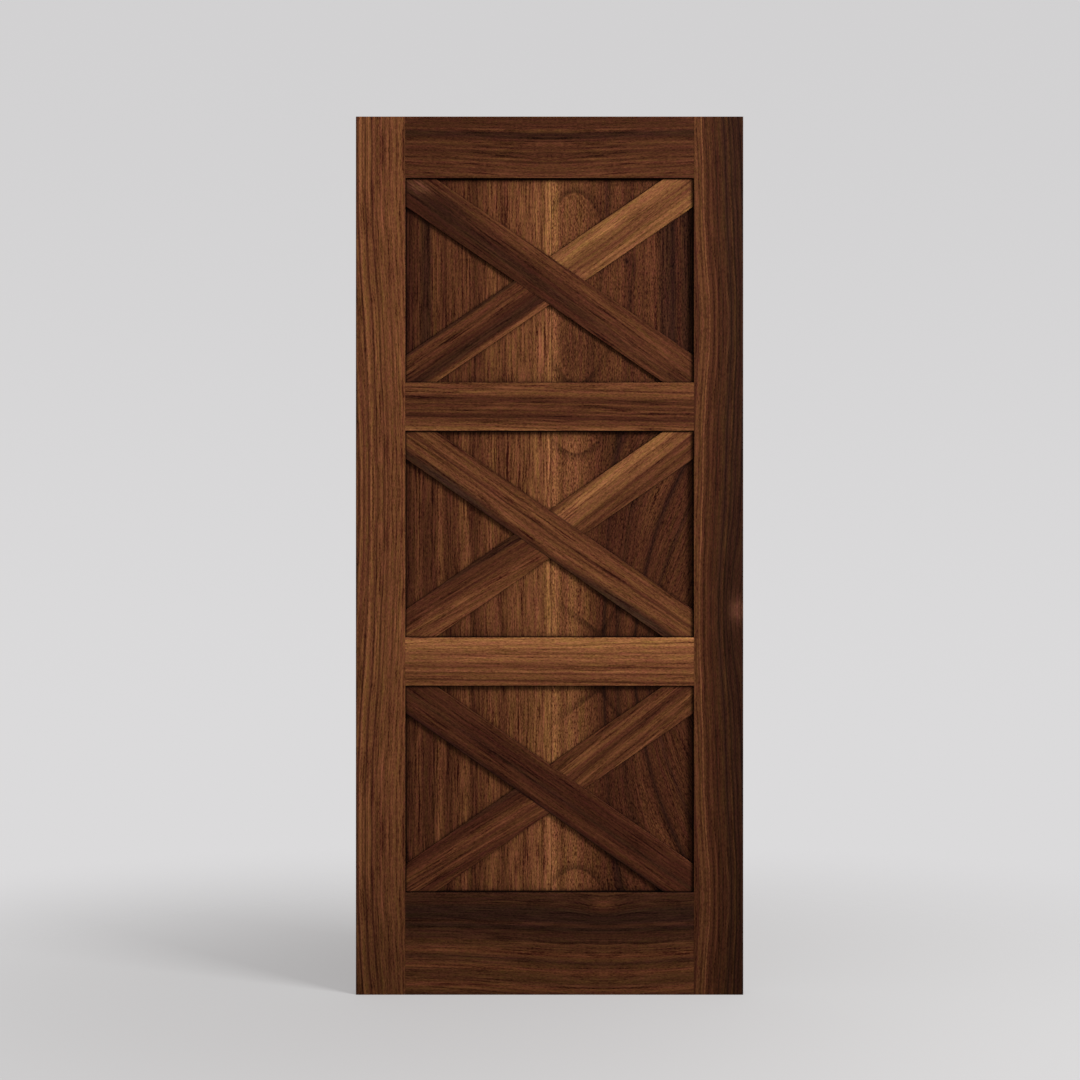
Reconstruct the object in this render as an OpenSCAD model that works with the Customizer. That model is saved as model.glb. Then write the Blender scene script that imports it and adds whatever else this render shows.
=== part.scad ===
// Pocket door leaf: a stile-and-rail door whose recessed panels are each crossed by a flat X brace.
// Millimetres. X runs across the leaf, Y through its thickness with the front face towards -Y, Z up.
// The origin is the middle of the bottom edge.

/* [Leaf] */
// Width of the leaf
leaf_w = 940; // [760:1:1100]
// Height of the leaf
leaf_h = 2130; // [1950:1:2440]
// Thickness of the leaf
leaf_t = 44; // [38:0.5:57]

/* [Stiles and rails] */
// Width of each stile
stile_w = 120; // [95:1:150]
// Height of the top rail
top_rail_h = 149; // [100:1:200]
// Height of each mid rail
mid_rail_h = 117; // [90:1:160]
// Height of the bottom rail
bottom_rail_h = 248; // [120:1:320]
// Height of the upper opening, with the other two equal to each other
upper_opening_h = 496; // [420:1:560]
// Radius of the leaf's outer vertical arrises
outer_ease_r = 2.5; // [0.5:0.1:4]
// Radius of the long arrises around the openings
inner_ease_r = 1; // [0.3:0.1:2]
// Depth of the panel groove in the stiles and rails
groove_d = 14; // [10:0.5:20]
// Gap between the end of a rail's tongue and the groove floor
tongue_end_gap = 0.5; // [0.2:0.1:2]

/* [Panels] */
// Thickness of each panel
panel_t = 18; // [14:0.5:22]
// Gap between a panel or tongue and each wall of its groove
panel_fit = 0.1; // [0.05:0.01:0.3]
// Gap left for movement between a panel's side edge and the groove floor
panel_side_gap = 5; // [3:0.5:7]
// Gap left above a panel, which stands on the groove floor below it
panel_top_gap = 3; // [1:0.5:6]

/* [Braces] */
// Distance from an opening's corner to a brace's edge, along the rail
brace_rail_leg = 72; // [40:1:100]
// Distance from an opening's corner to a brace's edge, along the stile
brace_stile_leg = 67; // [40:1:100]
// Thickness of each brace
brace_t = 7; // [5:0.5:9]
// Radius of the long front arrises of the braces
brace_ease_r = 0.8; // [0.3:0.1:2]
// Gap between a brace's ends and the stiles and rails around it
brace_end_gap = 0.3; // [0.1:0.1:2]
// Gap where a half brace meets the long one
brace_cross_gap = 0.1; // [0.05:0.01:0.5]

/* [Dowels] */
// Diameter of each dowel
dowel_d = 12; // [8:0.5:14]
// Length of each dowel, half of it in the stile and half in the rail
dowel_l = 140; // [80:1:150]
// Glue gap around a dowel
dowel_fit = 0.05; // [0.03:0.01:0.1]
// Glue room past each end of a dowel
dowel_end_gap = 2; // [1:0.5:4]
// Chamfer at each end of a dowel
dowel_chamfer = 1.5; // [0.5:0.1:2.5]
// Width and depth of the glue flutes along a dowel
dowel_flute = 1; // [0.6:0.1:1.5]
// Distance from a rail's edge to its nearest dowel
dowel_edge = 32; // [28:1:38]
// Least distance between the dowels in a rail's end
dowel_pitch = 56; // [30:1:80]

/* [Panel cushions] */
// Gap between a cushion and what it lies between
cushion_fit = 0.1; // [0.05:0.01:0.2]
// Distance from a cushion's ends to the groove walls
cushion_end_gap = 1; // [0.5:0.1:3]
// Distance between the cushions along a panel's side
cushion_pitch = 180; // [100:5:220]

/* [Hanging and guiding] */
// Distance between a hanger's screws along the top edge
hanger_pitch_x = 60; // [40:1:66]
// Distance between a hanger's screws through the thickness
hanger_pitch_y = 18; // [12:0.5:24]
// Diameter of the hanger screws' pilot holes
pilot_d = 3.2; // [2.5:0.1:4.5]
// Depth of the pilot holes
pilot_l = 25; // [18:1:40]
// Width of the floor guide's groove in the bottom edge
guide_w = 7; // [5:0.5:9]
// Depth of the floor guide's groove
guide_d = 16; // [10:0.5:19]

/* [Hidden] */
$fn = 48;
// How far a cutting solid reaches past the face that it cuts
cut = 1;

// The sides of the leaf, and the openings counted down from the top
LEFT = -1;
RIGHT = 1;
UPPER = 0;
MIDDLE = 1;
LOWER = 2;
opening_count = 3;

opening_w = leaf_w - 2 * stile_w;
rails_h = top_rail_h + (opening_count - 1) * mid_rail_h + bottom_rail_h;
// Height of each opening but the upper one
lower_opening_h = (leaf_h - rails_h - upper_opening_h) / (opening_count - 1);
function opening_h(i) = i == UPPER ? upper_opening_h : lower_opening_h;
// Height of an opening's lower edge
function opening_z(i) = bottom_rail_h + (opening_count - 1 - i) * (lower_opening_h + mid_rail_h);

// Each rail's lower edge and its height
top_rail_at = [leaf_h - top_rail_h, top_rail_h];
upper_mid_rail_at = [opening_z(UPPER) - mid_rail_h, mid_rail_h];
lower_mid_rail_at = [opening_z(MIDDLE) - mid_rail_h, mid_rail_h];
bottom_rail_at = [0, bottom_rail_h];
all_rails = [top_rail_at, upper_mid_rail_at, lower_mid_rail_at, bottom_rail_at];

groove_w = panel_t + 2 * panel_fit;
tongue_l = groove_d - tongue_end_gap;
panel_w = opening_w + 2 * (groove_d - panel_side_gap);
function panel_h(i) = opening_h(i) + 2 * groove_d - panel_top_gap;
panel_front_y = -panel_t / 2;

// A brace's edges run from its leg along one rail to its leg along the opposite stile
function brace_angle(i) = atan2(opening_h(i) - brace_stile_leg, opening_w - brace_rail_leg);
function brace_w(i) = brace_rail_leg * sin(brace_angle(i)) + brace_stile_leg * cos(brace_angle(i));
// Long enough for a brace's square ends to lie outside the opening
function brace_blank_l(i) = norm([opening_w, opening_h(i)]) + 2 * brace_w(i);

bore_d = dowel_d + 2 * dowel_fit;
bore_l = dowel_l / 2 + dowel_end_gap;
// Heights of the dowels in a rail's end, spread evenly and clear of the pilot holes and the guide groove
function dowel_heights(rail) =
    let (
        low = max(rail[0] + dowel_edge, guide_d + bore_d),
        high = min(rail[0] + rail[1] - dowel_edge, leaf_h - pilot_l - bore_d),
        spaces = max(1, floor((high - low) / dowel_pitch))
    )
    [for (k = [0 : spaces]) low + k * (high - low) / spaces];

cushion_d = panel_side_gap - 2 * cushion_fit;
cushion_l = groove_w - 2 * cushion_end_gap;
function cushions_per_side(i) = floor(opening_h(i) / cushion_pitch) + 1;

// The hangers sit over the middle of each stile's solid wood
hanger_x = leaf_w / 2 - (stile_w - groove_d) / 2;

// Rectangle from the origin with rounded corners; the radii run anticlockwise from the origin's corner
module eased_rect(size, radii) {
    corners = [[0, 0], [size[0], 0], size, [0, size[1]]];
    difference() {
        square(size);
        for (k = [0 : 3])
            if (radii[k] > 0)
                translate(corners[k]) rotate(90 * k) difference() {
                    translate([-cut, -cut]) square(radii[k] + cut);
                    translate([radii[k], radii[k]]) circle(radii[k]);
                }
    }
}

// Extrudes a section drawn in Y and Z along X, centred on X = 0
module along_x(length) {
    rotate([90, 0, 90]) linear_extrude(length, center = true) children();
}

// Bores for a rail's dowels at both sides of the leaf, each centred on the shoulder line
module dowel_bores(rail) {
    for (side = [LEFT, RIGHT], z = dowel_heights(rail))
        translate([side * opening_w / 2, 0, z]) rotate([0, 90, 0])
            cylinder(d = bore_d, h = 2 * bore_l, center = true);
}

// Pilot holes of one hanger, open at the leaf's top edge
module pilot_holes() {
    for (dx = [-1, 1], dy = [-1, 1])
        translate([hanger_x + dx * hanger_pitch_x / 2, dy * hanger_pitch_y / 2, leaf_h - pilot_l])
            cylinder(d = pilot_d, h = pilot_l + cut);
}

// Groove for the floor guide, open at the leaf's bottom edge and at both its sides
module guide_groove() {
    translate([-leaf_w / 2 - cut, -guide_w / 2, -cut]) cube([leaf_w + 2 * cut, guide_w, guide_d + cut]);
}

// A stile, drawn at the right and mirrored for the left
module stile(side) {
    mirror([side == LEFT ? 1 : 0, 0, 0]) difference() {
        translate([opening_w / 2, -leaf_t / 2, 0]) linear_extrude(leaf_h)
            eased_rect([stile_w, leaf_t], [inner_ease_r, outer_ease_r, outer_ease_r, inner_ease_r]);
        translate([opening_w / 2 - cut, -groove_w / 2, -cut])
            cube([groove_d + cut, groove_w, leaf_h + 2 * cut]);
        for (rail = all_rails) dowel_bores(rail);
        pilot_holes();
        guide_groove();
    }
}

// A rail between the stiles, tongued at both ends, with a panel groove above it, below it or both
module rail(rail, above = true, below = true) {
    z = rail[0];
    h = rail[1];
    tongue_z = z + (below ? groove_d : 0);
    tongue_h = h - (below ? groove_d : 0) - (above ? groove_d : 0);
    low_r = below ? inner_ease_r : 0;
    high_r = above ? inner_ease_r : 0;
    difference() {
        union() {
            along_x(opening_w) translate([-leaf_t / 2, z])
                eased_rect([leaf_t, h], [low_r, low_r, high_r, high_r]);
            translate([-opening_w / 2 - tongue_l, -panel_t / 2, tongue_z])
                cube([opening_w + 2 * tongue_l, panel_t, tongue_h]);
        }
        if (above) rail_groove(z + h - groove_d);
        if (below) rail_groove(z - cut);
        dowel_bores(rail);
        guide_groove();
    }
}

module rail_groove(z) {
    translate([-opening_w / 2 - cut, -groove_w / 2, z]) cube([opening_w + 2 * cut, groove_w, groove_d + cut]);
}

// A flat panel standing on the groove floor of the rail below it
module panel(i) {
    translate([-panel_w / 2, -panel_t / 2, opening_z(i) - groove_d]) cube([panel_w, panel_t, panel_h(i)]);
}

// Turns the X axis onto a brace through an opening's middle: a fall of 1 runs down to the right, -1 up to it
module on_diagonal(i, fall) {
    translate([0, 0, opening_z(i) + opening_h(i) / 2]) rotate([0, fall * brace_angle(i), 0]) children();
}

// A straight brace lying on the panel's face, cut to the opening and to that face
module brace(i, fall) {
    intersection() {
        on_diagonal(i, fall) along_x(brace_blank_l(i)) translate([panel_front_y - brace_t, -brace_w(i) / 2])
            eased_rect([brace_t + cut, brace_w(i)], [brace_ease_r, 0, 0, brace_ease_r]);
        translate([-opening_w / 2 + brace_end_gap, panel_front_y - brace_t - cut, opening_z(i) + brace_end_gap])
            cube([opening_w - 2 * brace_end_gap, brace_t + cut, opening_h(i) - 2 * brace_end_gap]);
    }
}

// The unbroken brace, from the upper left corner down to the lower right
module long_brace(i) {
    brace(i, 1);
}

// The half of the other brace at one side of the long brace: the right half lies above it
module half_brace(i, side) {
    cross_z = brace_w(i) / 2 + brace_cross_gap;
    keep_l = brace_blank_l(i);
    intersection() {
        brace(i, -1);
        on_diagonal(i, 1)
            translate([0, panel_front_y - brace_t / 2, side * (cross_z + keep_l / 2)])
                cube([keep_l, brace_t + 2 * cut, keep_l], center = true);
    }
}

// A dowel along X, chamfered at both ends, with a glue flute above and below
module dowel() {
    straight_l = dowel_l - 2 * dowel_chamfer;
    rotate([0, 90, 0]) difference() {
        union() {
            cylinder(d = dowel_d, h = straight_l, center = true);
            for (end = [0, 1])
                mirror([0, 0, end]) translate([0, 0, straight_l / 2])
                    cylinder(d1 = dowel_d, d2 = dowel_d - 2 * dowel_chamfer, h = dowel_chamfer);
        }
        for (side = [-1, 1])
            translate([side * dowel_d / 2, 0, 0])
                cube([2 * dowel_flute, dowel_flute, dowel_l + 2 * cut], center = true);
    }
}

module rail_dowels(rail) {
    for (side = [LEFT, RIGHT], z = dowel_heights(rail))
        translate([side * opening_w / 2, 0, z]) dowel();
}

// Rubber barrels between a panel's side edges and the groove floors of the stiles
module panel_cushions(i) {
    cushion_x = opening_w / 2 + groove_d - panel_side_gap / 2;
    middle_z = opening_z(i) + opening_h(i) / 2;
    last = cushions_per_side(i) - 1;
    for (side = [LEFT, RIGHT], k = [0 : last])
        translate([side * cushion_x, 0, middle_z + (k - last / 2) * cushion_pitch])
            rotate([90, 0, 0]) cylinder(d = cushion_d, h = cushion_l, center = true);
}

// The sub-parts, in the mean colours of their wood and rubber
module left_stile() { color("#5F3923") stile(LEFT); }
module right_stile() { color("#422618") stile(RIGHT); }
module top_rail() { color("#4C2A1A") rail(top_rail_at, above = false); }
module upper_mid_rail() { color("#59331E") rail(upper_mid_rail_at); }
module lower_mid_rail() { color("#714629") rail(lower_mid_rail_at); }
module bottom_rail() { color("#3B2114") rail(bottom_rail_at, below = false); }
module upper_panel() { color("#5C3722") panel(UPPER); }
module middle_panel() { color("#5A3520") panel(MIDDLE); }
module lower_panel() { color("#5A3520") panel(LOWER); }
module upper_long_brace() { color("#462819") long_brace(UPPER); }
module middle_long_brace() { color("#5A3621") long_brace(MIDDLE); }
module lower_long_brace() { color("#43241A") long_brace(LOWER); }
module upper_half_brace_right() { color("#7B5030") half_brace(UPPER, RIGHT); }
module middle_half_brace_right() { color("#6B4429") half_brace(MIDDLE, RIGHT); }
module lower_half_brace_right() { color("#5C3921") half_brace(LOWER, RIGHT); }
module upper_half_brace_left() { color("#4A2B1B") half_brace(UPPER, LEFT); }
module middle_half_brace_left() { color("#4E2C1D") half_brace(MIDDLE, LEFT); }
module lower_half_brace_left() { color("#4B2B1B") half_brace(LOWER, LEFT); }
module top_rail_dowels() { color("#C9A678") rail_dowels(top_rail_at); }
module upper_mid_rail_dowels() { color("#C9A678") rail_dowels(upper_mid_rail_at); }
module lower_mid_rail_dowels() { color("#C9A678") rail_dowels(lower_mid_rail_at); }
module bottom_rail_dowels() { color("#C9A678") rail_dowels(bottom_rail_at); }
module upper_panel_cushions() { color("#2A2A2A") panel_cushions(UPPER); }
module middle_panel_cushions() { color("#2A2A2A") panel_cushions(MIDDLE); }
module lower_panel_cushions() { color("#2A2A2A") panel_cushions(LOWER); }

left_stile();
right_stile();
top_rail();
upper_mid_rail();
lower_mid_rail();
bottom_rail();
upper_panel();
middle_panel();
lower_panel();
upper_long_brace();
middle_long_brace();
lower_long_brace();
upper_half_brace_right();
middle_half_brace_right();
lower_half_brace_right();
upper_half_brace_left();
middle_half_brace_left();
lower_half_brace_left();
top_rail_dowels();
upper_mid_rail_dowels();
lower_mid_rail_dowels();
bottom_rail_dowels();
upper_panel_cushions();
middle_panel_cushions();
lower_panel_cushions();
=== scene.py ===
"""Walnut pocket door leaf: a finish for every piece, a pale studio and a level camera."""
import math

import bpy
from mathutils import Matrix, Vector


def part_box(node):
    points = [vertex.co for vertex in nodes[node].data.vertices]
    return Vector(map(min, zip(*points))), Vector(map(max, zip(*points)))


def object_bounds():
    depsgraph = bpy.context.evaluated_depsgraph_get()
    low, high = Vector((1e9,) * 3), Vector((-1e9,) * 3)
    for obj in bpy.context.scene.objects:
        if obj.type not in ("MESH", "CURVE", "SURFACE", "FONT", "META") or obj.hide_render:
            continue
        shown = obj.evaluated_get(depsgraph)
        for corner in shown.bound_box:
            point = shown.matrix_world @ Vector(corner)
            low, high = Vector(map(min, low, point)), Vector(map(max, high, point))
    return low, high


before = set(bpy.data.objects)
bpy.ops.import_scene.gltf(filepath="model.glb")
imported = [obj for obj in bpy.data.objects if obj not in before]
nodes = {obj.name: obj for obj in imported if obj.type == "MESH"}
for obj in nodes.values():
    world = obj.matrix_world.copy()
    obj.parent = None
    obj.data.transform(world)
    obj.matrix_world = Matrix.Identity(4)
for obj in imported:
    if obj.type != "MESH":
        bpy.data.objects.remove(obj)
cad_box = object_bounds()

MM = 1000.0
X, FRONT, Z = Vector((1, 0, 0)), Vector((0, -1, 0)), Vector((0, 0, 1))

# The photograph's camera, in metres: a level 50 mm lens, square on to the leaf
LENS_MM = 50.0
SENSOR_MM = 36.0
CAMERA_DISTANCE = 3.638
CAMERA_HEIGHT = 1.103
CAMERA_X = -0.0232

# Direction from the leaf to the key light, its distance and size in metres, and its power in watts
KEY_TOWARDS = Vector((0.745, -0.49, 0.45)).normalized()
KEY_DISTANCE = 4.5
KEY_SIZE = (1.5, 1.1)
KEY_POWER = 230.0
SURROUND_LIGHT = 0.36

# The floor as the camera sees it is partly lit and partly its own pale glow
FLOOR_SIZE = 12.0
FLOOR_CELLS = 8
FLOOR_LIT = 0.30
FLOOR_GLOW = 0.34
FLOOR_TINT = (1.0, 0.97, 0.97, 1)

# It fades between these distances from the leaf, in metres, and faster by a factor in front and behind
FLOOR_FADE = (0.5, 2.8)
FLOOR_FADE_DEPTH = 1.5

# The backdrop's grey, and between which heights of the view's direction it changes
BACKDROP_LOW = "DBDADB"
BACKDROP_HIGH = "D2D1D2"
BACKDROP_RISE = (-0.15, 0.35)

# The tones of the walnut, from its darkest streaks to its sapwood
TONES = {
    "soot": "28140D",
    "coal": "2C1910",
    "smoke": "3B2B1F",
    "umber": "371E12",
    "russet": "3E1F13",
    "bark": "3C2215",
    "cocoa": "482717",
    "peat": "482A18",
    "walnut": "56311D",
    "chestnut": "673E25",
    "rose": "6C4231",
    "tan": "794C2E",
    "honey": "8E5D38",
}

# The marks of the grain: length along it and width across it in millimetres, and the offset of their noise
MARKS = {
    "blotch": (120.0, 14.0, 0.0),
    "long_streak": (240.0, 5.0, 2.0),
    "short_streak": (70.0, 4.4, 4.0),
    "vein": (110.0, 3.8, 5.0),
    "lively": (210.0, 20.0, 13.0),
    "fleck": (11.0, 2.3, 7.0),
    "fibre": (5.5, 1.8, 17.0),
    "broad_hue": (300.0, 11.0, 9.0),
    "middle_hue": (70.0, 8.0, 15.0),
    "fine_hue": (14.0, 3.2, 11.0),
}
MARK_DETAIL = 1.0
NOISE_ROUGHNESS = 0.55

# How much of a mark goes into the streaks, the flecks, the tone or the hue
WEIGHTS = {
    "blotch": 0.14,
    "long_streak": 0.42,
    "short_streak": 0.46,
    "vein": -0.25,
    "fleck": 0.7,
    "fibre": 0.65,
    "broad_hue": 0.45,
    "middle_hue": 0.45,
    "fine_hue": 0.6,
}
MEAN_TONE, MEAN_HUE = 0.52, 0.5
FLECK_HEIGHT, VEIN_HEIGHT = 0.8, -0.6
VEIN_EDGE = (0.15, 0.55)

# Streaks are weak in the calm parts of a board, and gain strength in its lively parts
LIVELY_EDGE = (-0.45, 0.35)
CALM_STREAK, LIVELY_GAIN = 0.4, 1.1

# What the grain does to a tone at its darkest and lightest, and how its hue wanders
GRAIN_DARK = (0.23, 0.11, 0.12, 1)
GRAIN_LIGHT = (1.77, 1.91, 1.88, 1)
HUE_RED = (1.12, 0.895, 1.17, 1)
HUE_OLIVE = (0.93, 1.085, 0.79, 1)

# How strong streaks and flecks are on the frame and the braces
FRAME_STREAK, FRAME_FLECK = 1.02, 0.64

# The grain's slow waves and quick ripples, in millimetres along and across it, and its drift into the board
WAVE_SIZE = (330.0, 110.0)
RIPPLE_SIZE = (80.0, 40.0)
RIPPLE_OFFSET = 3.0
DEPTH_DRIFT = 0.4

# The noise that makes patches of another tone ragged: its size, its seed, and its gain and mean
RAGGED_SIZE = (26.0, 7.0)
RAGGED_SEED = 21.0
RAGGED_GAIN, RAGGED_MEAN = 0.9, 0.85

# The oiled finish: how deep its grain is, in metres, and its roughness, which grows where the grain lies low
BUMP_STRENGTH, BUMP_DISTANCE = 0.2, 0.0003
OIL_ROUGHNESS, OIL_ROUGHNESS_BY_HEIGHT = 0.52, -0.08
OIL_SPECULAR = 0.03

# Tones are placed across a board from 0 at one edge to 1 at the other, and somewhat past both edges
PAST_EDGE = 0.3

# Painted shade darkens the recess walls, and the corners beside them as they close in, in millimetres. It
# also falls beside the braces, at their ends and at the feet of the stiles; the dark joint lines share its
# tone
PAINTED_SHADE_AND_JOINT_TONE = "0A0403"
PAINTED_WALL_SHADE, WALL_BAND = 0.06, (2.0, 16.0)
WALL_FACING = (0.8, 0.95)
PAINTED_CORNER_SHADE, CORNER_SPREAD = 0.5, 8.0
PAINTED_CREVICE_SHADE, CREVICE_SPREAD = 0.92, 2.6
PAINTED_BRACE_SHADE, BRACE_SPREAD = 0.63, 2.8
PAINTED_BRACE_END_SHADE = 0.4
JOINT_SHADE, JOINT_SPREAD = 0.5, 1.2
PAINTED_FOOT_SHADE_SPREAD = 330.0

# Each panel lies between two rails: the one below it and the one above
OPENINGS = {
    "upper": ("upper_mid_rail", "top_rail"),
    "middle": ("lower_mid_rail", "upper_mid_rail"),
    "lower": ("bottom_rail", "lower_mid_rail"),
}
PANEL_SEEDS = {"upper": 10.0, "middle": 15.0, "lower": 20.0}
RAILS = ("top_rail", "upper_mid_rail", "lower_mid_rail", "bottom_rail")

# A panel is two boards whose joint lies this far from the left stile. The right board has a grain of its own
SEAM, SEAM_BLUR = 354.0, 0.4
BOARD_OFFSET = 500.0

# Tones run across the whole opening. The middle and the lower panel share theirs
UPPER_LEFT = [
    (0.02, "russet"), (0.04, "cocoa"), (0.062, "umber"), (0.082, "umber"), (0.095, "walnut"),
    (0.112, "walnut"), (0.133, "cocoa"), (0.155, "walnut"), (0.22, "walnut"), (0.24, "cocoa"),
    (0.27, "walnut"), (0.30, "chestnut"), (0.345, "walnut"), (0.36, "chestnut"), (0.44, "chestnut"),
    (0.46, "tan"), (0.472, "chestnut"), (0.487, "tan"), (0.497, "honey"),
]
UPPER_RIGHT = [
    (0.506, "tan"), (0.515, "honey"), (0.527, "tan"), (0.54, "chestnut"), (0.61, "chestnut"),
    (0.64, "walnut"), (0.752, "walnut"), (0.764, "cocoa"), (0.792, "cocoa"), (0.802, "walnut"),
    (0.82, "walnut"), (0.828, "cocoa"), (0.837, "walnut"), (0.868, "walnut"), (0.878, "cocoa"),
    (0.892, "umber"), (0.91, "umber"), (0.93, "soot"), (0.95, "russet"), (0.97, "umber"),
]
OTHER_LEFT = [
    (0.02, "cocoa"), (0.043, "walnut"), (0.065, "cocoa"), (0.10, "cocoa"), (0.117, "chestnut"),
    (0.13, "walnut"), (0.15, "cocoa"), (0.18, "walnut"), (0.208, "chestnut"), (0.235, "cocoa"),
    (0.26, "walnut"), (0.30, "chestnut"), (0.345, "walnut"), (0.36, "chestnut"), (0.43, "chestnut"),
    (0.46, "tan"), (0.47, "chestnut"), (0.487, "tan"), (0.497, "honey"), (0.507, "tan"),
]
OTHER_RIGHT = [
    (0.506, "tan"), (0.515, "honey"), (0.527, "tan"), (0.54, "chestnut"), (0.575, "tan"),
    (0.62, "chestnut"), (0.65, "walnut"), (0.69, "cocoa"), (0.704, "soot"), (0.718, "cocoa"),
    (0.75, "cocoa"), (0.77, "umber"), (0.79, "cocoa"), (0.83, "walnut"), (0.852, "cocoa"),
    (0.868, "soot"), (0.885, "cocoa"), (0.93, "cocoa"), (0.945, "umber"), (0.96, "cocoa"),
]

# Patches over those tones, from the middle of the opening up and from its left edge across: the knot of the
# upper panel with its tails, a dark strand, and broad darker and lighter places
UPPER_PATCHES = [
    ((48, 539), (11, 9), "soot", 1.0), ((28, 555), (27, 5), "soot", 1.0), ((-45, 545), (50, 5), "soot", 0.8),
    ((200, 492), (80, 9), "soot", 0.9), ((30, 474), (90, 8), "umber", 0.8),
    ((-200, 448), (80, 11), "umber", 0.7), ((0, 590), (140, 70), "russet", 0.3),
    ((-165, 412), (105, 58), "cocoa", 1.0), ((-160, 332), (110, 18), "tan", 0.6),
]
OTHER_PATCHES = [((0, 520), (110, 85), "russet", 0.7)]

# How the panels' grain runs: its waves, its bend around the knot, and the slant that grows between two places
PANEL_WAVE, OTHER_RIPPLE = 3.0, 2.5
KNOT_BEND = ((45, 549), (40, 14), -7.0)
SLANT, SLANT_GROWS = -0.42, (430.0, 690.0)

# The right board is plain near the seam. Streaks come in between two places, all of them or a share
UPPER_STREAKS_GROW = (560.0, 620.0)
OTHER_STREAKS_GROW, OTHER_STREAKS_SHARE = (480.0, 560.0), 0.4
PANEL_STREAK, PLAIN_STREAK_CHANGE = 1.3, -0.68
PANEL_FLECK, FIGURED_FLECK_CHANGE = 0.85, 0.42

# The dark that lies outside each ring of the panels' figure, and how far the ring can be followed
RING_SHADE, RING_EDGE, RING_SPREAD = 0.54, (-2.0, 3.0), 26.0
RING_REACH = (105.0, 85.0)
BACK_RINGS = 0.4
FRONT_FACING = (0.5, 0.9)

# The rings' apexes and middles, placed as the patches are. The arch is a bowl upside down, so the height of
# its apex is counted downwards
UPPER_CURVE = 0.0174
ARCH_APEX, ARCH_MIDDLE = (-214.0, 412.0), (200.0, 412.0)
HOLLOW_APEX, HOLLOW_MIDDLE = (-245.0, 416.0), (-230.0, 416.0)
OTHER_CURVE = 0.0121
BOWL_APEX, BOWL_MIDDLE = (198.0, 414.0), (210.0, 414.0)
CLEFT_APEX, CLEFT_MIDDLE = (-236.0, 473.0), (-205.0, 455.0)
CLEFT_SLOPES, CLEFT_ROUNDING, CLEFT_WIDTH = (-0.75, 1.6), 30.0, 0.7

# The pieces inside: dark and light tone, size of the noise along x, y and z in millimetres, its detail and
# contrast, and the mean and range of the roughness
BEECH = {
    "tones": ("A9794C", "D9B488"),
    "size": (30.0, 1.5, 1.5),
    "detail": 3.0,
    "contrast": 0.8,
    "roughness": (0.65, 0.1),
}
RUBBER = {
    "tones": ("1C1C1C", "303030"),
    "size": (2.0, 2.0, 2.0),
    "detail": 4.0,
    "contrast": 0.6,
    "roughness": (0.75, 0.15),
}


def linear(hex_colour, light=1.0):
    """A colour such as "5F3923", written as it looks on screen, as linear RGBA made lighter or darker.

    The numbers are those of the sRGB curve.
    """
    channels = [int(hex_colour[i : i + 2], 16) / 255 for i in (0, 2, 4)]
    channels = [c / 12.92 if c <= 0.04045 else ((c + 0.055) / 1.055) ** 2.4 for c in channels]
    return [c * light for c in channels] + [1.0]


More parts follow.
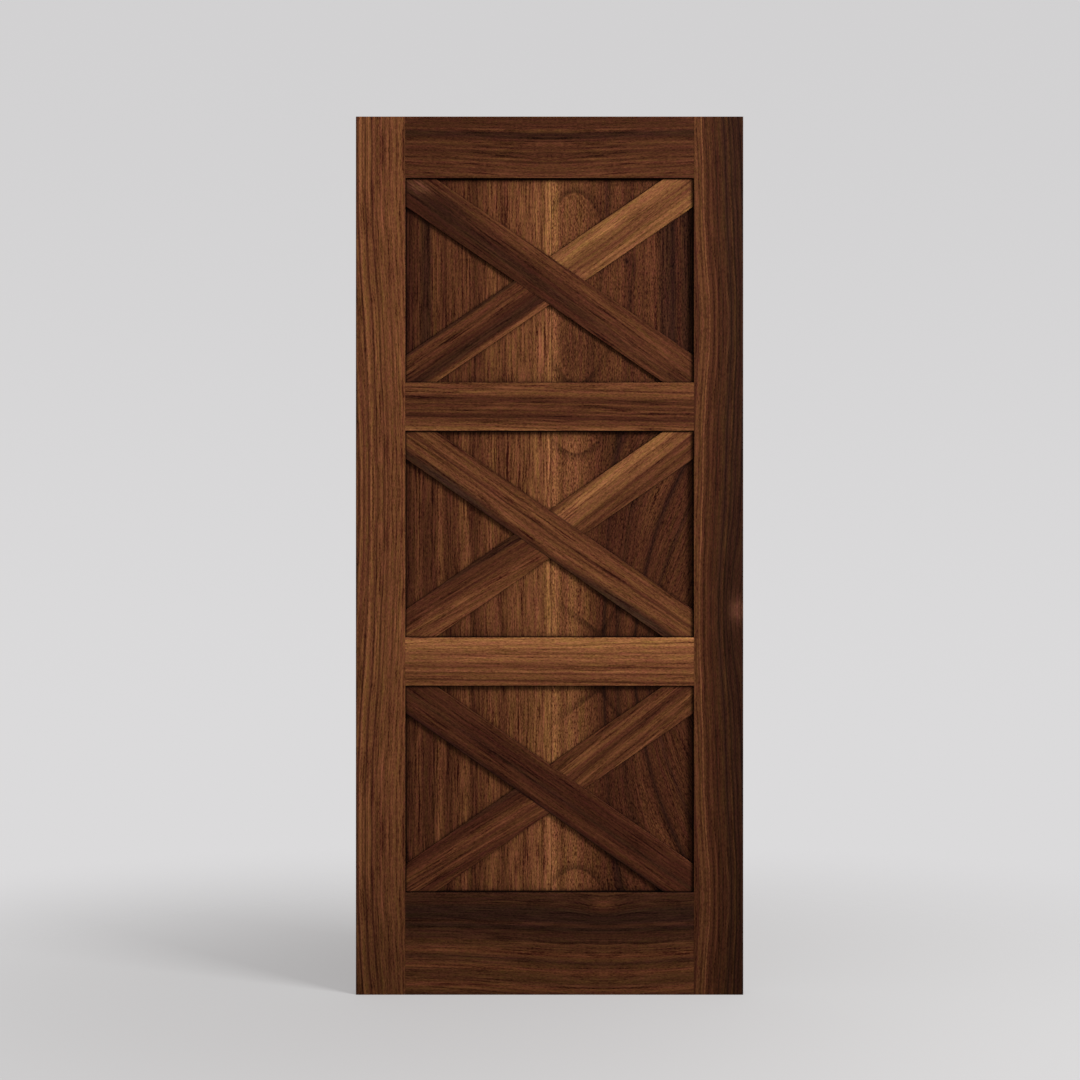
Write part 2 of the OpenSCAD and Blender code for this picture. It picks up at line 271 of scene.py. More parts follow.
class Graph:
    """Adds nodes to a tree. An operand is a number, a colour or another node's output."""

    def __init__(self, tree):
        self.tree = tree

    def node(self, kind, **settings):
        made = self.tree.nodes.new(kind)
        for name, value in settings.items():
            setattr(made, name, value)
        return made

    def feed(self, socket, value):
        """Links an output to a socket, or sets the socket's own value."""
        if isinstance(value, bpy.types.NodeSocket):
            self.tree.links.new(value, socket)
        elif value is not None:
            socket.default_value = value

    def place(self):
        """A point's place in the shared frame, in metres."""
        return self.node("ShaderNodeTexCoord").outputs["Object"]

    def math(self, operation, a, b=None, c=None, clamp=False):
        made = self.node("ShaderNodeMath", operation=operation, use_clamp=clamp)
        for socket, value in zip(made.inputs, (a, b, c)):
            self.feed(socket, value)
        return made.outputs[0]

    def add(self, a, b):
        return self.math("ADD", a, b)

    def sub(self, a, b):
        return self.math("SUBTRACT", a, b)

    def mul(self, a, b):
        return self.math("MULTIPLY", a, b)

    def over(self, a, size):
        return self.mul(a, 1 / size)

    def mad(self, a, b, c):
        return self.math("MULTIPLY_ADD", a, b, c)

    def vector(self, x, y, z):
        made = self.node("ShaderNodeCombineXYZ")
        for socket, value in zip(made.inputs, (x, y, z)):
            self.feed(socket, value)
        return made.outputs[0]

    def dot(self, vector, axis):
        made = self.node("ShaderNodeVectorMath", operation="DOT_PRODUCT")
        self.feed(made.inputs[0], vector)
        made.inputs[1].default_value = axis
        return made.outputs["Value"]

    def noise(self, x, y, z, detail):
        """Noise of about -1 to 1."""
        made = self.node("ShaderNodeTexNoise", noise_dimensions="3D")
        self.feed(made.inputs["Vector"], self.vector(x, y, z))
        made.inputs["Scale"].default_value = 1.0
        made.inputs["Detail"].default_value = detail
        made.inputs["Roughness"].default_value = NOISE_ROUGHNESS
        return self.mad(made.outputs["Fac"], 2.0, -1.0)

    def smooth(self, value, low, high):
        """0 below low and 1 above high, with a smooth step between."""
        made = self.node("ShaderNodeMapRange", interpolation_type="SMOOTHSTEP", clamp=True)
        self.feed(made.inputs["Value"], value)
        made.inputs["From Min"].default_value = low
        made.inputs["From Max"].default_value = high
        return made.outputs["Result"]

    def ramp(self, value, stops, light=1.0):
        """A colour ramp through (place, tone) stops."""
        made = self.node("ShaderNodeValToRGB")
        made.color_ramp.interpolation = "EASE"
        elements = made.color_ramp.elements
        while len(elements) < len(stops):
            elements.new(1.0)
        for element, (place, tone) in zip(elements, stops):
            element.position = place
            element.color = linear(TONES[tone], light)
        self.feed(made.inputs["Fac"], value)
        return made.outputs["Color"]

    def mix(self, factor, a, b, blend="MIX"):
        """Mixes two colours. The node's colours are its inputs 6 and 7 and its output 2."""
        made = self.node("ShaderNodeMix", data_type="RGBA", blend_type=blend)
        self.feed(made.inputs[0], factor)
        self.feed(made.inputs[6], a)
        self.feed(made.inputs[7], b)
        return made.outputs[2]

    def mix_shaders(self, factor, a, b):
        made = self.node("ShaderNodeMixShader")
        for socket, value in zip(made.inputs, (factor, a, b)):
            self.feed(socket, value)
        return made.outputs[0]

    def dim(self, colour, factor):
        made = self.node("ShaderNodeVectorMath", operation="SCALE")
        self.feed(made.inputs[0], colour)
        self.feed(made.inputs["Scale"], factor)
        return made.outputs[0]


def new_material(name):
    """A new material, the graph of its nodes and its shader."""
    material = bpy.data.materials.new(name)
    material.use_nodes = True
    return material, Graph(material.node_tree), material.node_tree.nodes["Principled BSDF"]


def clothe(node, material):
    """Gives a CAD node one material."""
    nodes[node].data.materials.clear()
    nodes[node].data.materials.append(material)


def grain_group():
    """A node group of the grain's marks, for places in millimetres: their tone, hue and height."""
    tree = bpy.data.node_groups.new("walnut_grain", "ShaderNodeTree")
    for name in ("Along", "Across", "Depth", "Seed", "Streak", "Fleck"):
        tree.interface.new_socket(name, in_out="INPUT", socket_type="NodeSocketFloat")
    for name in ("Tone", "Hue", "Height"):
        tree.interface.new_socket(name, in_out="OUTPUT", socket_type="NodeSocketFloat")
    graph = Graph(tree)
    u, v, w, seed, streaks, flecks = graph.node("NodeGroupInput").outputs[:6]

    def mark(kind):
        """Noise that is drawn out along the grain."""
        length, width, offset = MARKS[kind]
        deep = graph.mad(w, 1 / width, graph.add(seed, offset))
        return graph.noise(graph.over(u, length), graph.over(v, width), deep, MARK_DETAIL)

    def with_marks(total, *kinds):
        """A total with the weighed marks of some kinds added to it."""
        for kind in kinds:
            total = graph.mad(mark(kind), WEIGHTS[kind], total)
        return total

    vein = graph.smooth(mark("vein"), *VEIN_EDGE)
    lively = graph.smooth(mark("lively"), *LIVELY_EDGE)
    fleck = with_marks(0.0, "fleck", "fibre")
    streak = graph.mad(vein, WEIGHTS["vein"], with_marks(0.0, "short_streak", "long_streak"))
    streak = graph.mul(streak, graph.mad(lively, LIVELY_GAIN, CALM_STREAK))
    tone = graph.mad(streak, streaks, with_marks(MEAN_TONE, "blotch"))
    tone = graph.mad(fleck, flecks, tone)
    hue = with_marks(MEAN_HUE, "broad_hue", "middle_hue", "fine_hue")
    height = graph.mad(fleck, FLECK_HEIGHT, graph.mul(vein, VEIN_HEIGHT))
    output = graph.node("NodeGroupOutput")
    for socket, value in zip(output.inputs, (tone, hue, height)):
        graph.feed(socket, value)
    return tree


GRAIN = grain_group()


def reach(node, axis):
    """The lowest and highest place of a node's mesh along an axis, in millimetres."""
    places = [vertex.co.dot(axis) * MM for vertex in nodes[node].data.vertices]
    return min(places), max(places)


def behind_front(graph, place, node):
    """How far a point lies behind a node's front face, in millimetres."""
    return graph.sub(reach(node, FRONT)[1], graph.dot(place, FRONT * MM))


def facing(graph, axis):
    """How far a face looks along an axis, from -1 to 1."""
    return graph.dot(graph.node("ShaderNodeNewGeometry").outputs["True Normal"], axis)


def hill(graph, u, v, centre, spread):
    """1 at the centre of an oval in the board's plane, falling smoothly to 0 around it."""
    along = graph.mad(u, 1 / spread[0], -centre[0] / spread[0])
    across = graph.mad(v, 1 / spread[1], -centre[1] / spread[1])
    square = graph.mad(along, along, graph.mul(across, across))
    return graph.math("EXPONENT", graph.mul(square, -1.0))


def mirrored(graph, u, mirror):
    """A place along a board whose figure repeats as its own mirror image.

    A mirror is (axis, distance to the next axis).
    """
    if not mirror:
        return u
    axis, half = mirror
    return graph.math("PINGPONG", graph.sub(u, axis), half)


def flow(graph, u, v, w, seed, wave=4.0, ripple=1.0, tilt=0.0, fan=0.0, swing=None, sag=None, bends=()):
    """The place across the grain that a point had before its waves, tilt, swing, sag and bends shifted it.

    A tilt is a slope, and a fan a change of slope per millimetre across. A swing is (shift, half its period).
    A sag is (shift, growth across, spread along). A bend is (centre, spread, shift), and moves the grain back
    around an oval.
    """
    slow = graph.noise(graph.over(u, WAVE_SIZE[0]), graph.over(v, WAVE_SIZE[1]), seed, detail=0.0)
    quick = graph.noise(
        graph.over(u, RIPPLE_SIZE[0]), graph.over(v, RIPPLE_SIZE[1]), seed + RIPPLE_OFFSET, detail=0.0
    )
    lines = graph.mad(slow, wave, graph.mad(w, DEPTH_DRIFT, v))
    lines = graph.mad(quick, ripple, lines)
    if tilt or fan:
        lines = graph.mad(u, graph.mad(v, fan, tilt), lines)
    if swing:
        shift, half = swing
        turn = graph.math("COSINE", graph.mul(u, math.pi / half))
        lines = graph.sub(lines, graph.mad(turn, shift / 2, shift / 2))
    if sag:
        shift, growth, spread = sag
        away = graph.over(u, spread)
        dip = graph.math("EXPONENT", graph.mul(graph.mul(away, away), -1.0))
        lines = graph.sub(lines, graph.mul(dip, graph.mad(v, growth, shift)))
    for centre, spread, shift in bends:
        lines = graph.mad(hill(graph, u, v, centre, spread), shift, lines)
    return lines


def toned(graph, place, stops, light=1.0):
    """The tone at a place across a board. Light is the board's own lightness."""
    span = 1.0 + 2 * PAST_EDGE
    place = graph.mad(place, 1 / span, PAST_EDGE / span)
    return graph.ramp(place, [((at + PAST_EDGE) / span, tone) for at, tone in stops], light)


def patched(graph, colour, u, v, patches, light=1.0):
    """Lays soft ovals of another tone over a board: each is (centre, spread, tone, strength)."""
    if not patches:
        return colour
    ragged = graph.noise(
        graph.over(u, RAGGED_SIZE[0]), graph.over(v, RAGGED_SIZE[1]), RAGGED_SEED, detail=1.0
    )
    ragged = graph.math("MULTIPLY_ADD", ragged, RAGGED_GAIN, RAGGED_MEAN, clamp=True)
    for centre, spread, tone, strength in patches:
        cover = graph.mul(graph.mul(hill(graph, u, v, centre, spread), ragged), strength)
        colour = graph.mix(cover, colour, linear(TONES[tone], light))
    return colour


def grained(graph, colour, u, lines, w, seed, streak, fleck=FRAME_FLECK):
    """A tone of wood with its grain over it, and the height of that grain."""
    grain = graph.node("ShaderNodeGroup", node_tree=GRAIN)
    for socket, value in zip(grain.inputs, (u, lines, w, seed, streak, fleck)):
        graph.feed(socket, value)
    tone, hue, height = grain.outputs
    colour = graph.mix(1.0, colour, graph.mix(tone, GRAIN_DARK, GRAIN_LIGHT), "MULTIPLY")
    colour = graph.mix(1.0, colour, graph.mix(hue, HUE_RED, HUE_OLIVE), "MULTIPLY")
    return colour, height


def oil(graph, shader, colour, shade, height):
    """The dull oiled finish of the walnut. Its colour falls to the tone of painted shade and dark joints
    where shade is 0.
    """
    graph.feed(shader.inputs["Base Color"], graph.mix(shade, linear(PAINTED_SHADE_AND_JOINT_TONE), colour))
    bump = graph.node("ShaderNodeBump")
    bump.inputs["Strength"].default_value = BUMP_STRENGTH
    bump.inputs["Distance"].default_value = BUMP_DISTANCE
    graph.feed(bump.inputs["Height"], height)
    graph.feed(shader.inputs["Normal"], bump.outputs["Normal"])
    graph.feed(shader.inputs["Roughness"], graph.mad(height, OIL_ROUGHNESS_BY_HEIGHT, OIL_ROUGHNESS))
    shader.inputs["Specular IOR Level"].default_value = OIL_SPECULAR


def near_edge(graph, distance, strength, spread, power=1.0):
    """Darkens towards an edge: by its strength at the edge, fading over spread millimetres."""
    away = graph.over(graph.math("MAXIMUM", distance, 0.0), spread)
    fade = graph.math("EXPONENT", graph.mul(graph.math("POWER", away, power), -1.0))
    return graph.mad(fade, graph.mul(strength, -1.0), 1.0)


def recess_shade(graph, across, v, walls):
    """Painted shade on the faces that wall a recess: darkens those square to the across axis, at the given
    places.
    """
    side = graph.smooth(graph.math("ABSOLUTE", facing(graph, across)), *WALL_FACING)
    shade = 1.0
    for wall in walls:
        away = graph.math("ABSOLUTE", graph.sub(v, wall))
        near = graph.sub(1.0, graph.smooth(away, *WALL_BAND))
        shade = graph.mul(shade, graph.mad(graph.mul(near, side), PAINTED_WALL_SHADE - 1.0, 1.0))
    return shade


def frame_board(node, grain, across, stops, seed, walls, light=1.0, streak=FRAME_STREAK,
                mirror=None, patches=(), foot=0.0, **figure):
    """A stile or a rail.

    Its walls are the edges that face a recess, which get painted shade, and its foot is painted shade that
    darkens its lower end.
    """
    material, graph, shader = new_material("walnut_" + node)
    place = graph.place()
    first, last = reach(node, grain)
    low, high = reach(node, across)
    width = high - low
    along = graph.sub(graph.dot(place, grain * MM), (first + last) / 2)
    u = mirrored(graph, along, mirror)
    v = graph.sub(graph.dot(place, across * MM), low)
    w = behind_front(graph, place, node)
    lines = flow(graph, u, v, w, seed, **figure)
    colour = toned(graph, graph.over(lines, width), stops, light)
    colour = patched(graph, colour, u, v, patches, light)
    colour, height = grained(graph, colour, u, lines, w, seed, streak)
    shade = recess_shade(graph, across, v, [wall * width for wall in walls])
    # Painted shade that darkens the lower end of the board
    if foot:
        from_foot = graph.add(along, (last - first) / 2)
        shade = graph.mul(shade, near_edge(graph, from_foot, foot, PAINTED_FOOT_SHADE_SPREAD, power=2.0))
    oil(graph, shader, colour, shade, height)
    clothe(node, material)


def stiles():
    """Both stiles, with their tones placed from left to right."""
    frame_board("left_stile", Z, X, [
        (-0.25, "chestnut"), (-0.18, "cocoa"), (-0.13, "chestnut"), (-0.07, "walnut"), (-0.02, "chestnut"),
        (0.03, "cocoa"), (0.07, "tan"), (0.12, "chestnut"), (0.15, "chestnut"), (0.19, "cocoa"),
        (0.23, "chestnut"), (0.29, "chestnut"), (0.33, "cocoa"), (0.37, "chestnut"), (0.41, "walnut"),
        (0.45, "chestnut"), (0.54, "chestnut"), (0.58, "walnut"), (0.61, "chestnut"), (0.90, "chestnut"),
        (1.00, "walnut"),
    ], seed=1.0, walls=[1.0], light=1.15, foot=0.35, mirror=(152, 832), wave=3.0, ripple=1.6,
        swing=(30.0, 832))
    frame_board("right_stile", Z, X, [
        (-0.14, "walnut"), (-0.09, "cocoa"), (-0.05, "chestnut"), (0.00, "chestnut"), (0.03, "walnut"),
        (0.06, "chestnut"), (0.09, "walnut"), (0.115, "tan"), (0.135, "walnut"), (0.16, "walnut"),
        (0.20, "cocoa"), (0.26, "walnut"), (0.30, "cocoa"), (0.36, "cocoa"), (0.385, "umber"),
        (0.41, "cocoa"), (0.50, "peat"), (0.555, "bark"), (0.577, "soot"), (0.60, "bark"),
        (0.67, "peat"), (0.70, "soot"), (0.72, "bark"), (0.755, "bark"), (0.775, "soot"),
        (0.80, "umber"), (0.86, "bark"), (0.90, "soot"), (0.94, "umber"), (1.02, "bark"), (1.10, "umber"),
    ], seed=2.0, walls=[0.0], light=0.78, streak=0.8, foot=0.15, mirror=(564, 696), wave=4.0, ripple=1.4,
        swing=(17.0, 696), bends=[((696, 125), (170, 60), 26.0), ((0, 40), (140, 70), -6.0)],
        patches=[((696, 106), (28, 17), "rose", 1.0)])


def rails():
    """The four rails, with their tones placed from the upper edge to the lower edge."""
    frame_board("top_rail", X, -Z, [
        (0.15, "cocoa"), (0.175, "walnut"), (0.195, "cocoa"), (0.22, "umber"), (0.28, "umber"),
        (0.33, "cocoa"), (0.38, "walnut"), (0.43, "cocoa"), (0.47, "walnut"), (0.50, "cocoa"),
        (0.55, "cocoa"), (0.60, "walnut"), (0.64, "cocoa"), (0.665, "walnut"), (0.75, "walnut"),
        (0.78, "cocoa"), (0.80, "walnut"), (0.88, "walnut"), (0.94, "cocoa"),
    ], seed=3.0, walls=[1.0], light=0.9, mirror=(0, 400), wave=1.0, sag=(4.0, 0.12, 260.0),
        bends=[((0, 92), (30, 7), 6.0)])
    frame_board("upper_mid_rail", X, -Z, [
        (-0.10, "walnut"), (0.00, "chestnut"), (0.11, "chestnut"), (0.15, "walnut"), (0.19, "chestnut"),
        (0.25, "chestnut"), (0.29, "walnut"), (0.34, "cocoa"), (0.40, "cocoa"), (0.46, "walnut"),
        (0.49, "cocoa"), (0.54, "walnut"), (0.57, "walnut"), (0.60, "cocoa"), (0.64, "walnut"),
        (0.68, "cocoa"), (0.75, "russet"), (0.79, "walnut"), (0.84, "walnut"), (0.90, "chestnut"),
        (0.94, "chestnut"), (1.00, "tan"), (1.10, "chestnut"),
    ], seed=4.0, walls=[0.0, 1.0], wave=1.5, tilt=-0.02)
    frame_board("lower_mid_rail", X, -Z, [
        (-0.05, "tan"), (0.00, "honey"), (0.11, "honey"), (0.15, "tan"), (0.19, "honey"), (0.23, "tan"),
        (0.30, "tan"), (0.34, "chestnut"), (0.37, "tan"), (0.48, "tan"), (0.52, "chestnut"),
        (0.57, "chestnut"), (0.61, "walnut"), (0.65, "chestnut"), (0.71, "tan"), (0.74, "walnut"),
        (0.79, "chestnut"), (0.86, "chestnut"), (0.905, "cocoa"), (0.94, "chestnut"),
    ], seed=5.0, walls=[0.0, 1.0], light=1.14, streak=0.7, wave=1.5, ripple=1.2, tilt=0.02, fan=-0.00034)
    frame_board("bottom_rail", X, -Z, [
        (-0.06, "peat"), (0.00, "bark"), (0.04, "umber"), (0.09, "umber"), (0.14, "coal"), (0.24, "coal"),
        (0.27, "umber"), (0.31, "coal"), (0.36, "umber"), (0.405, "bark"), (0.43, "umber"), (0.455, "peat"),
        (0.50, "peat"), (0.55, "walnut"), (0.59, "peat"), (0.61, "bark"), (0.65, "peat"), (0.71, "walnut"),
        (0.75, "peat"), (0.82, "peat"), (0.88, "walnut"), (0.96, "peat"), (1.00, "umber"),
    ], seed=6.0, walls=[0.0], light=1.15, mirror=(131, 500), wave=1.5, sag=(6.0, 0.08, 250.0),
        bends=[((0, 40), (65, 34), -13.0)],
        # The last patch is painted shade that darkens the rail along its lower edge
        patches=[((0, 27), (30, 14), "walnut", 0.85), ((0, 248), (900, 8), "umber", 0.8)])


def opening(level):
    """The edges of a panel's opening, in millimetres: left, right, bottom and top."""
    below_it, above_it = OPENINGS[level]
    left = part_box("left_stile")[1].x * MM
    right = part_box("right_stile")[0].x * MM
    return left, right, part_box(below_it)[1].z * MM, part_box(above_it)[0].z * MM


def from_middle(graph, level):
    """A point's place, also from the middle of an opening to the right and up, and the opening's size."""
    place = graph.place()
    left, right, bottom, top = opening(level)
    x = graph.sub(graph.dot(place, X * MM), (left + right) / 2)
    z = graph.sub(graph.dot(place, Z * MM), (bottom + top) / 2)
    return place, x, z, (right - left, top - bottom)


def slope_of(node):
    """The unit direction of a brace to the right: along the longest edge of its mesh."""
    mesh = nodes[node].data
    edges = [mesh.vertices[b].co - mesh.vertices[a].co for a, b in (edge.vertices for edge in mesh.edges)]
    longest = max(edges, key=lambda edge: edge.length)
    return longest.normalized() * (1 if longest.x > 0 else -1)


def below(grain):
    """The direction square to a grain that points down, in the plane of the leaf."""
    return Vector((grain.z, 0, -grain.x))


def opening_shade(graph, x, z, size, strength, spread):
    """Painted shade along an opening's edges, with a darker painted crevice right in the corner."""
    shade = 1.0
    for place, span in ((x, size[0]), (z, size[1])):
        distance = graph.sub(span / 2, graph.math("ABSOLUTE", place))
        shade = graph.mul(shade, near_edge(graph, distance, strength, spread))
        shade = graph.mul(shade, near_edge(graph, distance, PAINTED_CREVICE_SHADE, CREVICE_SPREAD, power=2.0))
    return shade


def beside_brace(graph, x, z, node, strength, spread):
    """A dark band along both long edges of a brace. On a panel it is painted shade beside the brace; on a
    half brace it is the dark joint line where it butts the long brace.
    """
    across = below(slope_of(node))
    low, high = reach(node, across)
    away = graph.math("ABSOLUTE", graph.dot(graph.vector(x, 0.0, z), across))
    return near_edge(graph, graph.sub(away, (high - low) / 2), strength, spread)


def bowl(graph, u, v, apex, curve):
    """How far a point lies below a bowl-shaped ring whose lowest point is the apex."""
    away = graph.sub(v, apex[1])
    height = graph.sub(graph.mul(graph.mul(away, away), curve), graph.sub(u, apex[0]))
    slope = graph.mul(away, 2 * curve)
    return graph.math("DIVIDE", height, graph.math("SQRT", graph.mad(slope, slope, 1.0)))


def upper_figure(graph, u, v, w, seed):
    """The upper panel's lines, its rings and where its right board is streaked.

    The rings are an arch and a hollow below it: how far out of each a point lies, and its middle.
    """
    lines = flow(graph, u, v, w, seed, wave=PANEL_WAVE, bends=[KNOT_BEND])
    arch = bowl(graph, graph.mul(u, -1.0), lines, ARCH_APEX, UPPER_CURVE)
    hollow = bowl(graph, u, lines, HOLLOW_APEX, UPPER_CURVE)
    rings = [(arch, ARCH_MIDDLE), (hollow, HOLLOW_MIDDLE)]
    return lines, rings, graph.smooth(v, *UPPER_STREAKS_GROW)


def other_figure(graph, u, v, w, seed):
    """The same for the other panels, whose rings are a bowl near one end and a cleft near the other."""
    slant = graph.mul(graph.smooth(v, *SLANT_GROWS), SLANT)
    lines = flow(graph, u, graph.mad(u, slant, v), w, seed, wave=PANEL_WAVE, ripple=OTHER_RIPPLE)
    beside = graph.sub(v, CLEFT_APEX[1])
    sides = (graph.mul(beside, slope) for slope in CLEFT_SLOPES)
    cleft = graph.math("SMOOTH_MAX", *sides, CLEFT_ROUNDING)
    cleft = graph.mul(graph.sub(cleft, graph.sub(u, CLEFT_APEX[0])), CLEFT_WIDTH)
    rings = [(bowl(graph, u, v, BOWL_APEX, OTHER_CURVE), BOWL_MIDDLE), (cleft, CLEFT_MIDDLE)]
    return lines, rings, graph.mul(graph.smooth(v, *OTHER_STREAKS_GROW), OTHER_STREAKS_SHARE)


def panel(level, seed):
    """A panel of two boards: straight grain at the left of the seam and a ringed figure at its right."""
    node = level + "_panel"
    material, graph, shader = new_material("walnut_" + node)
    place, x, z, size = from_middle(graph, level)
    w = behind_front(graph, place, node)
    v = graph.add(x, size[0] / 2)
    u = graph.mul(z, -1.0) if level == "lower" else z
    figured = graph.smooth(v, SEAM - SEAM_BLUR, SEAM + SEAM_BLUR)
    front = graph.smooth(facing(graph, FRONT), *FRONT_FACING)

    if level == "upper":
        lines, rings, streaked = upper_figure(graph, u, v, w, seed)
        boards, patches = (UPPER_LEFT, UPPER_RIGHT), UPPER_PATCHES
    else:
        lines, rings, streaked = other_figure(graph, u, v, w, seed)
        boards, patches = (OTHER_LEFT, OTHER_RIGHT), OTHER_PATCHES
    left, right = (toned(graph, graph.over(lines, size[0]), stops) for stops in boards)
    colour = patched(graph, graph.mix(figured, left, right), u, v, patches)
    ringed = graph.mul(figured, graph.mad(front, 1.0 - BACK_RINGS, BACK_RINGS))
    for ring, middle in rings:
        dark = graph.sub(graph.smooth(ring, *RING_EDGE), graph.smooth(ring, RING_EDGE[1], RING_SPREAD))
        dark = graph.mul(graph.mul(dark, ringed), hill(graph, u, v, middle, RING_REACH))
        colour = graph.dim(colour, graph.mad(dark, -RING_SHADE, 1.0))

    plain = graph.mul(figured, graph.sub(1.0, streaked))
    streak = graph.mad(plain, PLAIN_STREAK_CHANGE, PANEL_STREAK)
    fleck = graph.mad(figured, FIGURED_FLECK_CHANGE, PANEL_FLECK)
    grain_lines = graph.mad(figured, BOARD_OFFSET, lines)
    colour, height = grained(graph, colour, u, grain_lines, w, seed, streak, fleck)

    # Painted shade along the opening's edges, and a dark joint line at the seam
    shade = opening_shade(graph, x, z, size, PAINTED_CORNER_SHADE, CORNER_SPREAD)
    from_seam = graph.math("ABSOLUTE", graph.sub(v, SEAM))
    shade = graph.mul(shade, near_edge(graph, from_seam, JOINT_SHADE, JOINT_SPREAD))
    # Painted shade on the front of the panel beside the braces
    painted_brace_shade_strength = graph.mul(front, PAINTED_BRACE_SHADE)
    for kind in ("_long_brace", "_half_brace_right"):
        shade = graph.mul(shade, beside_brace(graph, x, z, level + kind, painted_brace_shade_strength, BRACE_SPREAD))
    oil(graph, shader, colour, shade, height)
    clothe(node, material)


def brace(node, stops, seed, light=1.0, streak=FRAME_STREAK, patches=(), **figure):
    """A brace across a panel, with its tones placed from its upper edge to its lower edge."""
    level, kind = node.split("_", 1)
    material, graph, shader = new_material("walnut_" + node)
    place, x, z, size = from_middle(graph, level)
    grain = slope_of(node)
    across = below(grain)
    low, high = reach(node, across)
    middle = sum(reach(node, grain)) / 2
    u = graph.sub(graph.dot(place, grain * MM), middle)
    v = graph.sub(graph.dot(place, across * MM), low)
    w = behind_front(graph, place, node)
    lines = flow(graph, u, v, w, seed, **figure)
    colour = toned(graph, graph.over(lines, high - low), stops, light)
    colour = patched(graph, colour, u, v, patches, light)
    colour, height = grained(graph, colour, u, lines, w, seed, streak)
    # Painted shade at the brace's ends, where they meet the opening's edges; half braces also get a dark
    # joint line
    shade = opening_shade(graph, x, z, size, PAINTED_BRACE_END_SHADE, BRACE_SPREAD)
    if kind != "long_brace":
        joint = beside_brace(graph, x, z, level + "_long_brace", JOINT_SHADE, JOINT_SPREAD)
        shade = graph.mul(shade, joint)
    oil(graph, shader, colour, shade, height)
    clothe(node, material)


def upper_braces():
    """The cross of the upper panel."""
    brace("upper_long_brace", [
        (0.00, "cocoa"), (0.08, "walnut"), (0.27, "walnut"), (0.33, "cocoa"), (0.42, "cocoa"),
        (0.55, "russet"), (0.65, "umber"), (0.76, "umber"), (0.85, "russet"),
    ], seed=30.0, wave=2.0, tilt=-0.02, patches=[
        ((-305, 44), (62, 46), "soot", 0.75), ((-220, 66), (120, 30), "umber", 0.6),
        ((-392, 38), (28, 15), "rose", 0.8), ((290, 60), (180, 60), "walnut", 0.8),
    ])
    brace("upper_half_brace_right", [
        (0.00, "tan"), (0.05, "honey"), (0.24, "honey"), (0.33, "tan"), (0.42, "tan"), (0.48, "chestnut"),
        (0.55, "tan"), (0.63, "chestnut"), (0.74, "tan"), (0.82, "honey"), (0.88, "tan"), (1.00, "honey"),
    ], seed=40.0, light=0.82, streak=0.7, wave=2.0, tilt=0.03)
    brace("upper_half_brace_left", [
        (0.05, "umber"), (0.10, "walnut"), (0.22, "walnut"), (0.29, "cocoa"), (0.37, "walnut"),
        (0.46, "cocoa"), (0.55, "russet"), (0.70, "umber"), (0.82, "umber"), (0.88, "cocoa"),
        (0.94, "chestnut"),
    ], seed=50.0, light=1.06, wave=2.0)


def middle_braces():
    """The cross of the middle panel."""
    brace("middle_long_brace", [
        (0.00, "cocoa"), (0.06, "walnut"), (0.13, "chestnut"), (0.17, "walnut"), (0.22, "chestnut"),
        (0.31, "chestnut"), (0.38, "walnut"), (0.42, "cocoa"), (0.47, "chestnut"), (0.52, "walnut"),
        (0.57, "chestnut"), (0.68, "chestnut"), (0.74, "walnut"), (0.79, "cocoa"), (0.86, "umber"),
        (0.94, "umber"), (1.00, "cocoa"),
    ], seed=31.0, wave=1.5, ripple=1.4, sag=(0.0, 0.14, 240.0), patches=[
        ((-265, 86), (110, 14), "smoke", 0.55), ((250, 88), (120, 13), "smoke", 0.55),
    ])
    brace("middle_half_brace_right", [
        (-0.05, "walnut"), (0.03, "tan"), (0.09, "honey"), (0.22, "honey"), (0.32, "tan"), (0.56, "tan"),
        (0.61, "walnut"), (0.66, "walnut"), (0.75, "chestnut"), (0.84, "walnut"), (0.92, "walnut"),
        (0.98, "chestnut"), (1.15, "walnut"),
    ], seed=41.0, light=0.88, streak=0.8, wave=2.0, tilt=0.06)
    brace("middle_half_brace_left", [
        (0.06, "umber"), (0.12, "cocoa"), (0.45, "cocoa"), (0.52, "walnut"), (0.60, "walnut"),
        (0.68, "chestnut"), (0.76, "walnut"), (0.86, "walnut"), (0.94, "chestnut"),
    ], seed=51.0, light=1.2, wave=2.0, tilt=-0.07)


def lower_braces():
    """The cross of the lower panel."""
    brace("lower_long_brace", [
        (0.09, "cocoa"), (0.15, "russet"), (0.40, "russet"), (0.55, "umber"), (0.62, "russet"),
        (0.74, "cocoa"), (0.82, "cocoa"), (0.90, "russet"), (1.00, "soot"),
    ], seed=32.0, light=1.1, wave=2.0, patches=[
        ((-330, 40), (120, 40), "cocoa", 0.6), ((-260, 90), (140, 9), "soot", 0.5),
    ])
    brace("lower_half_brace_right", [
        (-0.20, "cocoa"), (0.00, "walnut"), (0.07, "cocoa"), (0.13, "walnut"), (0.21, "chestnut"),
        (0.30, "chestnut"), (0.38, "walnut"), (0.47, "cocoa"), (0.53, "cocoa"), (0.58, "walnut"),
        (0.70, "chestnut"), (0.78, "walnut"), (0.88, "walnut"), (0.93, "chestnut"), (1.10, "walnut"),
    ], seed=42.0, wave=2.0, tilt=0.07)
    brace("lower_half_brace_left", [
        (0.00, "umber"), (0.08, "russet"), (0.20, "russet"), (0.30, "cocoa"), (0.38, "walnut"),
        (0.48, "walnut"), (0.56, "cocoa"), (0.66, "cocoa"), (0.73, "walnut"), (0.80, "cocoa"),
        (0.89, "russet"), (1.00, "cocoa"),
    ], seed=52.0, light=1.25, wave=2.0, tilt=-0.06)


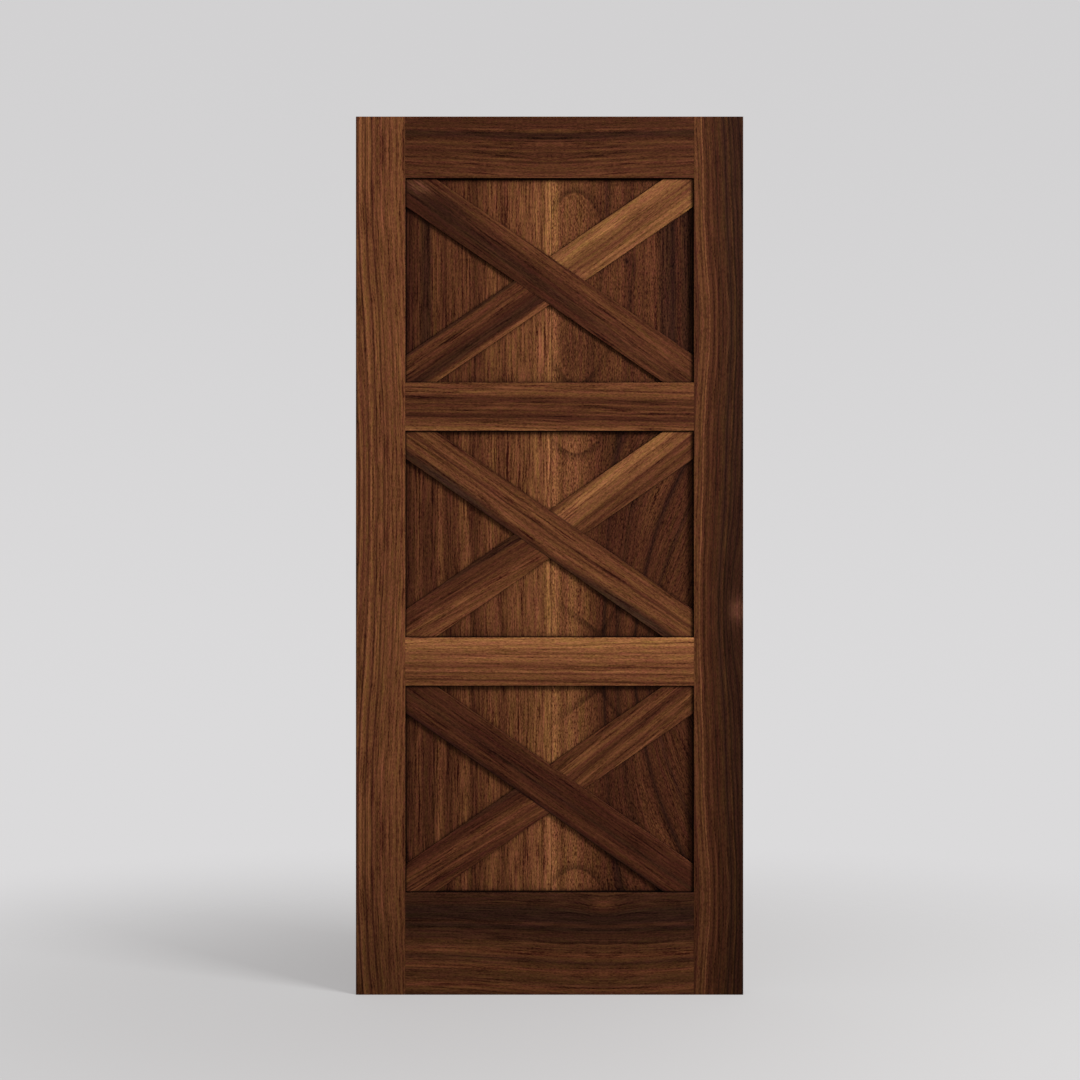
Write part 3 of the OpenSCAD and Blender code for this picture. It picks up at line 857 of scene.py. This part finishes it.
def inner_piece(node, kind, tones, size, detail, contrast, roughness):
    """The finish of a piece inside the leaf: two tones that noise mixes."""
    material, graph, shader = new_material(kind + "_" + node)
    place = graph.place()
    places = (graph.over(graph.dot(place, axis * MM), span) for axis, span in zip((X, FRONT, Z), size))
    noise = graph.noise(*places, detail)
    dark, light = tones
    colour = graph.mix(graph.mad(noise, contrast, 0.5), linear(dark), linear(light))
    graph.feed(shader.inputs["Base Color"], colour)
    mean, change = roughness
    graph.feed(shader.inputs["Roughness"], graph.mad(noise, change, mean))
    clothe(node, material)


def studio_floor():
    """A pale floor that keeps the leaf's shadow and fades into the backdrop's own grey."""
    bpy.ops.mesh.primitive_grid_add(x_subdivisions=FLOOR_CELLS, y_subdivisions=FLOOR_CELLS, size=FLOOR_SIZE)
    floor = bpy.context.object
    floor.name = "studio_floor"
    material, graph, shader = new_material("studio_floor")
    shader.inputs["Base Color"].default_value = (FLOOR_LIT, FLOOR_LIT, FLOOR_LIT, 1)
    shader.inputs["Roughness"].default_value = 1.0
    shader.inputs["Specular IOR Level"].default_value = 0.0
    shader.inputs["Emission Color"].default_value = FLOOR_TINT
    seen = graph.node("ShaderNodeLightPath").outputs["Is Camera Ray"]
    graph.feed(shader.inputs["Emission Strength"], graph.mul(seen, FLOOR_GLOW))
    place = graph.place()
    away = graph.vector(graph.dot(place, X), graph.dot(place, FRONT * FLOOR_FADE_DEPTH), 0.0)
    far = graph.node("ShaderNodeVectorMath", operation="LENGTH")
    graph.feed(far.inputs[0], away)
    clear = graph.node("ShaderNodeBsdfTransparent")
    fade = graph.smooth(far.outputs["Value"], *FLOOR_FADE)
    faded = graph.mix_shaders(fade, shader.outputs[0], clear.outputs[0])
    graph.feed(material.node_tree.nodes["Material Output"].inputs["Surface"], faded)
    floor.data.materials.append(material)


def backdrop():
    """The world: a pale grey as the camera and reflections see it, and a soft light on everything else."""
    world = bpy.data.worlds.new("studio")
    world.use_nodes = True
    bpy.context.scene.world = world
    graph = Graph(world.node_tree)
    light = world.node_tree.nodes["Background"]
    light.inputs["Color"].default_value = (1, 1, 1, 1)
    light.inputs["Strength"].default_value = SURROUND_LIGHT
    seen = graph.node("ShaderNodeBackground")
    height = graph.dot(graph.node("ShaderNodeTexCoord").outputs["Generated"], Z)
    rise = graph.smooth(height, *BACKDROP_RISE)
    graph.feed(seen.inputs["Color"], graph.mix(rise, linear(BACKDROP_LOW), linear(BACKDROP_HIGH)))
    path = graph.node("ShaderNodeLightPath").outputs
    shown = graph.math("MAXIMUM", path["Is Camera Ray"], path["Is Glossy Ray"])
    shown = graph.math("MAXIMUM", shown, path["Is Transmission Ray"])
    mixed = graph.mix_shaders(shown, light.outputs[0], seen.outputs[0])
    graph.feed(world.node_tree.nodes["World Output"].inputs["Surface"], mixed)


def key_light():
    """One soft lamp at the upper right."""
    light = bpy.data.lights.new("key", "AREA")
    light.shape = "RECTANGLE"
    light.size, light.size_y = KEY_SIZE
    light.energy = KEY_POWER
    lamp = bpy.data.objects.new("key", light)
    target = (cad_box[0] + cad_box[1]) / 2
    lamp.location = target + KEY_TOWARDS * KEY_DISTANCE
    lamp.rotation_euler = (-KEY_TOWARDS).to_track_quat("-Z", "Y").to_euler()
    bpy.context.scene.collection.objects.link(lamp)


def camera():
    """The camera of the photograph."""
    data = bpy.data.cameras.new("camera")
    data.lens = LENS_MM
    data.sensor_width = SENSOR_MM
    made = bpy.data.objects.new("camera", data)
    made.location = (CAMERA_X, cad_box[0].y - CAMERA_DISTANCE, CAMERA_HEIGHT)
    made.rotation_euler = (math.radians(90), 0, 0)
    bpy.context.scene.collection.objects.link(made)
    bpy.context.scene.camera = made


stiles()
rails()
for level, seed in PANEL_SEEDS.items():
    panel(level, seed)
    inner_piece(level + "_panel_cushions", "rubber", **RUBBER)
upper_braces()
middle_braces()
lower_braces()
for rail in RAILS:
    inner_piece(rail + "_dowels", "beech", **BEECH)
studio_floor()
backdrop()
key_light()
camera()
bpy.context.scene.view_settings.view_transform = "Standard"
